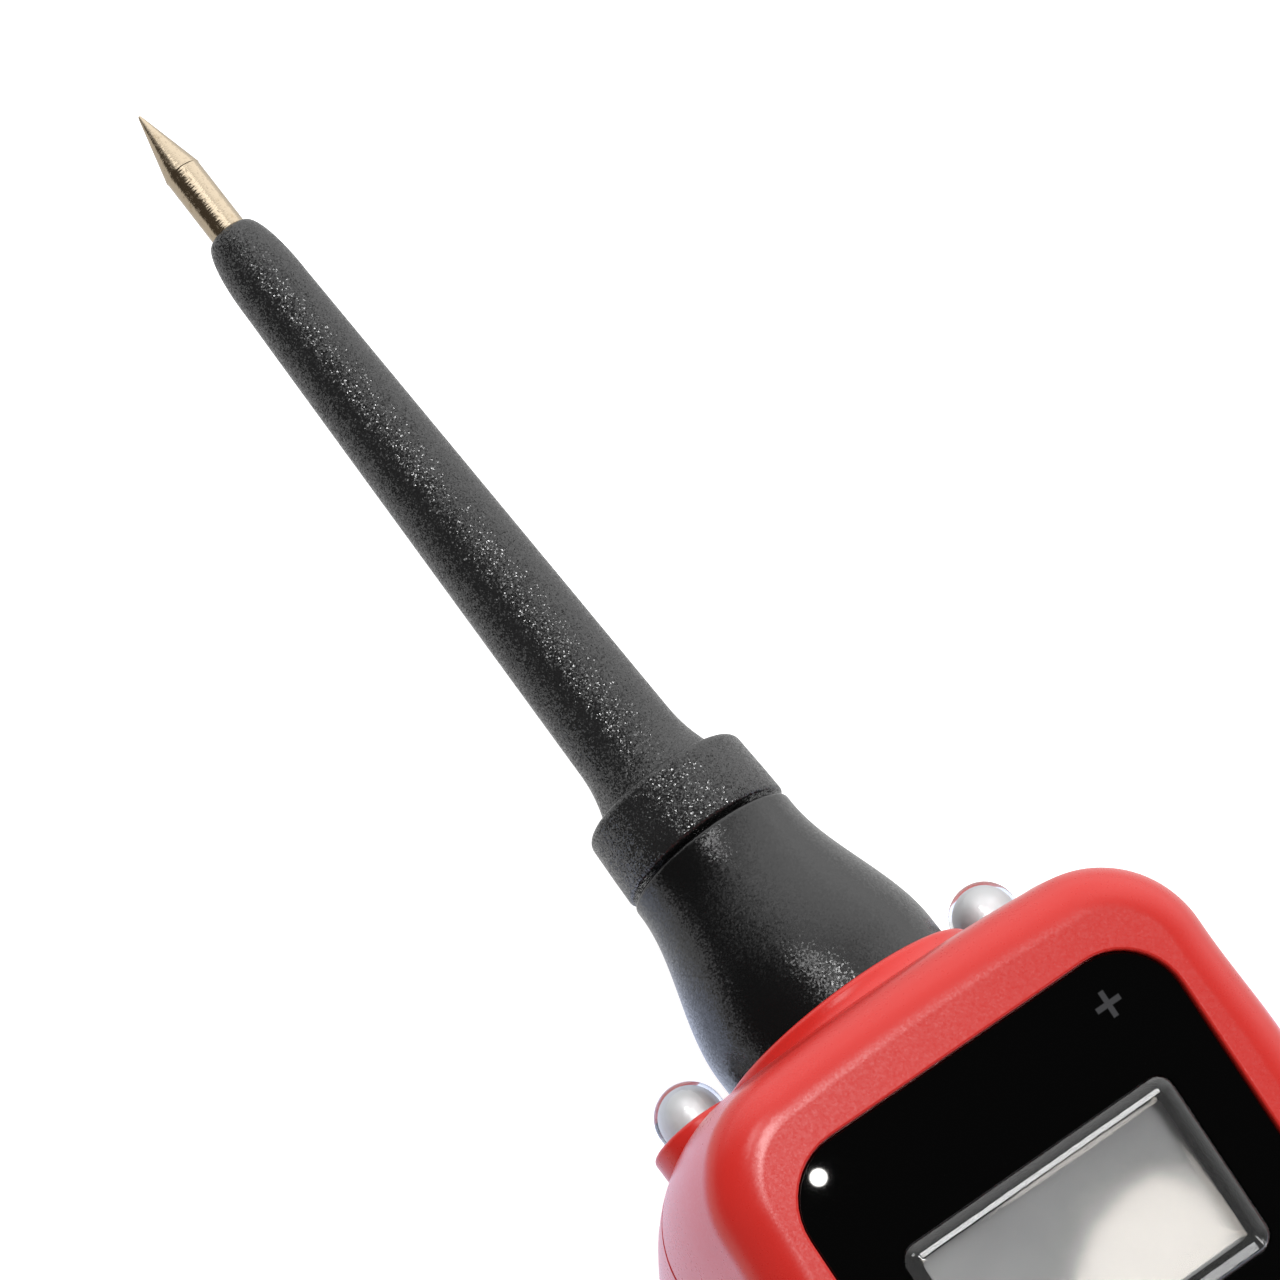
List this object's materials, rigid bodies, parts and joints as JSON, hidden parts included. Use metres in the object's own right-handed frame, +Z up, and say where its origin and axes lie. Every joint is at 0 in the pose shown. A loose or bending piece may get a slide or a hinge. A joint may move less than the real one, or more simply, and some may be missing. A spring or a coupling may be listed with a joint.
{
  "type": "handheld automotive circuit tester",
  "caption": "Handheld automotive circuit tester lying face up: red housing with a sloping display and headlights, black insulated probe with a pointed tip, rocker switch and cable inlet.",
  "frame": {"origin": "under the middle of the whole length, on the surface that the tester lies on with its display up", "axes": "+X to the right of the display, +Y along the probe towards its tip, +Z up out of the back"},
  "size_m": [0.0416, 0.2096, 0.0311],
  "materials": {
    "red_housing": "satin, finely textured",
    "black_gloss": "polished",
    "clear_window": "clear, polished",
    "lcd_glass": "dull grey",
    "white_diffuser": "matt",
    "frame_plastic": "matt",
    "amber_film": "smooth",
    "board_green": "solder mask",
    "chip_black": "matt",
    "breaker_brown": "matt",
    "terminal_green": "matt",
    "clear_lens": "clear, polished",
    "red_led": "clear tint",
    "green_led": "clear tint",
    "black_textured": "spark-eroded texture",
    "rocker_black": "fine texture",
    "tip_metal": "turned, pale",
    "socket_brass": "turned",
    "spring_bronze": "rolled",
    "tinned_strip": "tinned",
    "steel": "zinc plated",
    "inlet_rubber": "matt"
  },
  "bodies": {
    "housing": {"front_shell": "red_housing", "back_shell": "red_housing", "face_overlay": "black_gloss", "display_window": "clear_window", "lcd_panel": "lcd_glass", "lcd_backlight": "white_diffuser", "lcd_frame": "frame_plastic", "lcd_flex": "amber_film", "circuit_board": "board_green", "controller_chip": "chip_black", "buzzer": "chip_black", "thermal_breaker": "breaker_brown", "terminal_block": "terminal_green", "headlight_left": "clear_lens", "headlight_right": "clear_lens", "light_pipe_plus": "clear_lens", "light_pipe_minus": "clear_lens", "indicator_led_plus": "red_led", "indicator_led_minus": "green_led", "nose_cone": "black_textured", "probe_sleeve": "black_textured", "probe_tip": "tip_metal", "tip_socket": "socket_brass", "contact_strap": "tinned_strip", "rocker_frame": "chip_black", "rocker_pin": "steel", "contact_leaf_front": "spring_bronze", "contact_leaf_rear": "spring_bronze", "cable_inlet": "inlet_rubber", "housing_screws": "steel", "board_screws": "steel"},
    "rocker": {"rocker_button": "rocker_black"}
  },
  "joints": [
    {"name": "rocker_tilt", "type": "hinge", "parent": "housing", "child": "rocker", "pos_m": [0, -0.05117, 0.0169], "axis": [1, 0, 0], "range_deg": [-6, 6], "stiffness_Nm_per_rad": 0.3}
  ]
}
